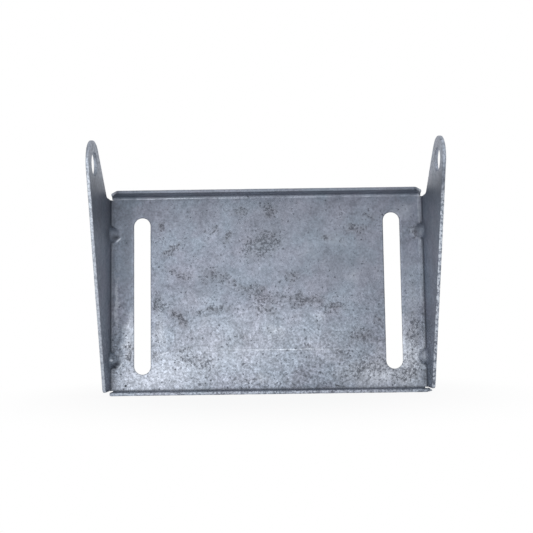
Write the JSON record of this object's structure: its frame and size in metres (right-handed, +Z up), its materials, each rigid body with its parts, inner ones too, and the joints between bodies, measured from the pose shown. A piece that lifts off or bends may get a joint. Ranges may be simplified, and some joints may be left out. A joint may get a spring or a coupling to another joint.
{
  "type": "keel roller bracket",
  "caption": "Galvanised sheet bracket: a slotted back plate with two leaning ears that carry a roller's shaft, stiffening lips and corner darts.",
  "frame": {"origin": "in the middle of the plate's back face", "axes": "+X along the shaft, +Y out of the back face into the beam, +Z up towards the eyes"},
  "size_m": [0.2594, 0.0785, 0.1925],
  "materials": {
    "galvanised_steel": "hot-dip galvanised, weathered and mottled"
  },
  "bodies": {
    "root": {"bracket": "galvanised_steel"}
  },
  "joints": []
}
